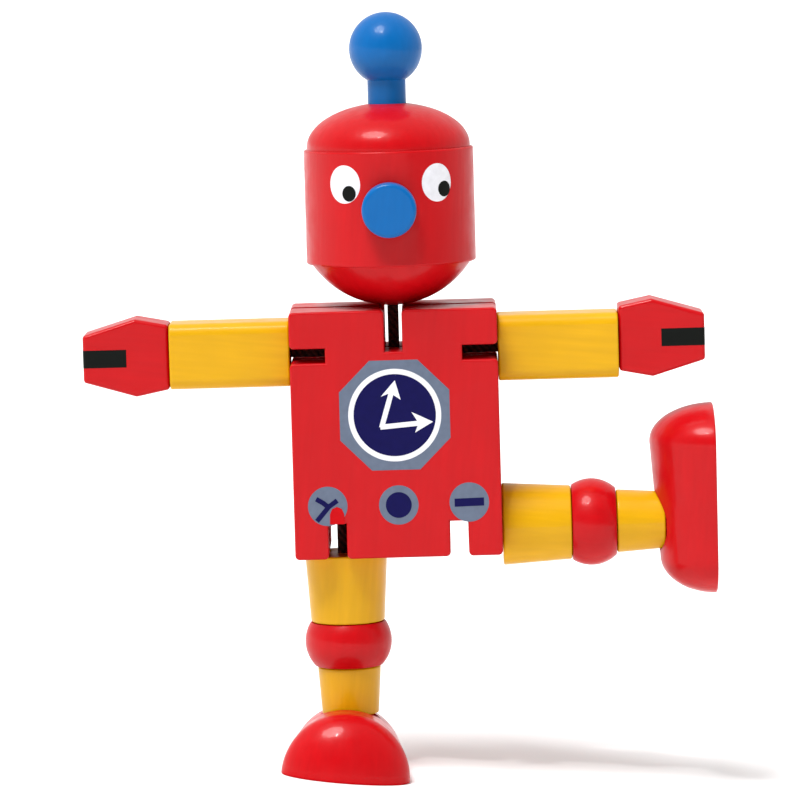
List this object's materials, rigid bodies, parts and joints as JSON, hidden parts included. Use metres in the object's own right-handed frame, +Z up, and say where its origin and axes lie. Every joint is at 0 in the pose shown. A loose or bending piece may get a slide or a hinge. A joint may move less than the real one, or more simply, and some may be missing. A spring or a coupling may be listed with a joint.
{
  "type": "toy robot",
  "caption": "Posable wooden toy robot of painted blocks and turned pieces strung on elastic, balanced on one foot with arms and the other leg held out sideways.",
  "frame": {"origin": "on the sole of the right foot, under the ankle of the leg that it stands on", "axes": "+Z up, -Y the robot's front, +X the robot's left, along the raised leg"},
  "size_m": [0.1295, 0.04, 0.1506],
  "materials": {
    "red_paint": "gloss",
    "yellow_paint": "gloss",
    "blue_paint": "gloss",
    "bare_wood": "matte",
    "elastic": "matte"
  },
  "bodies": {
    "torso": {"torso_front": "red_paint", "torso_back": "red_paint", "lower_spacer": "bare_wood", "left_side_spacer": "bare_wood", "right_side_spacer": "bare_wood", "left_top_spacer": "bare_wood", "right_top_spacer": "bare_wood", "centre_knot": "elastic", "neck_inner_elastic": "elastic", "right_leg_inner_elastic": "elastic", "left_leg_inner_elastic": "elastic", "right_arm_inner_elastic": "elastic", "left_arm_inner_elastic": "elastic"},
    "neck": {"neck_elastic": "elastic"},
    "head": {"head_block": "red_paint", "nose": "blue_paint", "antenna": "blue_paint", "head_knot": "elastic", "head_elastic": "elastic"},
    "right_shoulder": {"right_shoulder_elastic": "elastic"},
    "right_arm": {"right_arm": "yellow_paint", "right_arm_elastic": "elastic"},
    "right_hand": {"right_hand": "red_paint", "right_hand_plug": "bare_wood", "right_hand_knot": "elastic", "right_hand_elastic": "elastic"},
    "left_shoulder": {"left_shoulder_elastic": "elastic"},
    "left_arm": {"left_arm": "yellow_paint", "left_arm_elastic": "elastic"},
    "left_hand": {"left_hand": "red_paint", "left_hand_plug": "bare_wood", "left_hand_knot": "elastic", "left_hand_elastic": "elastic"},
    "right_hip": {"right_hip_elastic": "elastic"},
    "left_hip": {"left_hip_elastic": "elastic"},
    "right_thigh": {"right_thigh": "yellow_paint", "right_thigh_elastic": "elastic"},
    "right_knee": {"right_knee": "red_paint", "right_knee_elastic": "elastic"},
    "right_shin": {"right_shin": "yellow_paint", "right_shin_elastic": "elastic"},
    "right_foot": {"right_foot": "red_paint", "right_foot_plug": "bare_wood", "right_foot_knot": "elastic", "right_foot_elastic": "elastic"},
    "left_thigh": {"left_thigh": "yellow_paint", "left_thigh_elastic": "elastic"},
    "left_knee": {"left_knee": "red_paint", "left_knee_elastic": "elastic"},
    "left_shin": {"left_shin": "yellow_paint", "left_shin_elastic": "elastic"},
    "left_foot": {"left_foot": "red_paint", "left_foot_plug": "bare_wood", "left_foot_knot": "elastic", "left_foot_elastic": "elastic"}
  },
  "joints": [
    {"name": "head_nod", "type": "hinge", "parent": "torso", "child": "neck", "pos_m": [0.00015, 0, 0.11156], "axis": [0.9945, 0, 0.1045], "range_deg": [-25, 25]},
    {"name": "head_turn", "type": "hinge", "parent": "neck", "child": "head", "pos_m": [0.00211, 0, 0.09286], "axis": [-0.1045, 0, 0.9945], "continuous": true},
    {"name": "right_arm_swing", "type": "hinge", "parent": "torso", "child": "right_shoulder", "pos_m": [-0.02667, -0.02186, 0.08097], "axis": [-0.1045, 0, 0.9945], "range_deg": [0, 45], "deforming": ["right_shoulder_elastic"]},
    {"name": "right_arm_roll", "type": "hinge", "parent": "right_shoulder", "child": "right_arm", "pos_m": [0.01773, -0.00337, 0.08563], "axis": [-0.1045, 0, 0.9945], "range_deg": [0, 45]},
    {"name": "right_wrist_turn", "type": "hinge", "parent": "right_arm", "child": "right_hand", "pos_m": [-0.0412, 0, 0.07944], "axis": [-0.9945, 0, -0.1045], "continuous": true},
    {"name": "left_arm_swing", "type": "hinge", "parent": "torso", "child": "left_shoulder", "pos_m": [0.03274, -0.02186, 0.08721], "axis": [0.1045, 0, -0.9945], "range_deg": [0, 45], "deforming": ["left_shoulder_elastic"]},
    {"name": "left_arm_roll", "type": "hinge", "parent": "left_shoulder", "child": "left_arm", "pos_m": [-0.01166, -0.00337, 0.08255], "axis": [0.1045, 0, -0.9945], "range_deg": [0, 45]},
    {"name": "left_wrist_turn", "type": "hinge", "parent": "left_arm", "child": "left_hand", "pos_m": [0.04727, 0, 0.08874], "axis": [0.9945, 0, 0.1045], "continuous": true},
    {"name": "right_leg_swing", "type": "hinge", "parent": "torso", "child": "right_hip", "pos_m": [-0.00241, -0.02186, 0.03358], "axis": [-0.9945, 0, -0.1045], "range_deg": [0, 45], "deforming": ["right_hip_elastic"]},
    {"name": "right_leg_roll", "type": "hinge", "parent": "right_hip", "child": "right_thigh", "pos_m": [-0.00708, -0.00337, 0.07797], "axis": [-0.9945, 0, -0.1045], "range_deg": [0, 45]},
    {"name": "left_leg_swing", "type": "hinge", "parent": "torso", "child": "left_hip", "pos_m": [0.03338, 0, 0.0415], "axis": [0, 1, 0], "range_deg": [0, 45], "deforming": ["left_hip_elastic"]},
    {"name": "left_leg_roll", "type": "hinge", "parent": "left_hip", "child": "left_thigh", "pos_m": [0.00778, 0, 0.04908], "axis": [0, 1, 0], "range_deg": [0, 45]},
    {"name": "right_knee_upper_tilt", "type": "hinge", "parent": "right_thigh", "child": "right_knee", "pos_m": [-0.00194, 0.00747, 0.02909], "axis": [0.9945, 0, 0.1045], "range_deg": [0, 35], "stiffness_Nm_per_rad": 0.006, "springref_deg": -22.92},
    {"name": "right_knee_lower_tilt", "type": "hinge", "parent": "right_knee", "child": "right_shin", "pos_m": [-0.00101, 0.0067, 0.02022], "axis": [0.9945, 0, 0.1045], "range_deg": [0, 35], "stiffness_Nm_per_rad": 0.006, "springref_deg": -22.92},
    {"name": "right_ankle_turn", "type": "hinge", "parent": "right_shin", "child": "right_foot", "pos_m": [0, 0, 0.0099], "axis": [0, 0, 1], "continuous": true},
    {"name": "left_knee_upper_tilt", "type": "hinge", "parent": "left_thigh", "child": "left_knee", "pos_m": [0.04173, 0, 0.04485], "axis": [0, 1, 0], "range_deg": [0, 35], "stiffness_Nm_per_rad": 0.006, "springref_deg": -22.92},
    {"name": "left_knee_lower_tilt", "type": "hinge", "parent": "left_knee", "child": "left_shin", "pos_m": [0.05052, 0, 0.04655], "axis": [0, 1, 0], "range_deg": [0, 35], "stiffness_Nm_per_rad": 0.006, "springref_deg": -22.92},
    {"name": "left_ankle_turn", "type": "hinge", "parent": "left_shin", "child": "left_foot", "pos_m": [0.05949, 0, 0.05423], "axis": [0.9945, 0, 0.1045], "continuous": true}
  ],
  "couplings": [
    {"joint": "right_arm_roll", "follows": "right_arm_swing", "ratio": 1},
    {"joint": "left_arm_roll", "follows": "left_arm_swing", "ratio": 1},
    {"joint": "right_leg_roll", "follows": "right_leg_swing", "ratio": 1},
    {"joint": "left_leg_roll", "follows": "left_leg_swing", "ratio": 1}
  ]
}
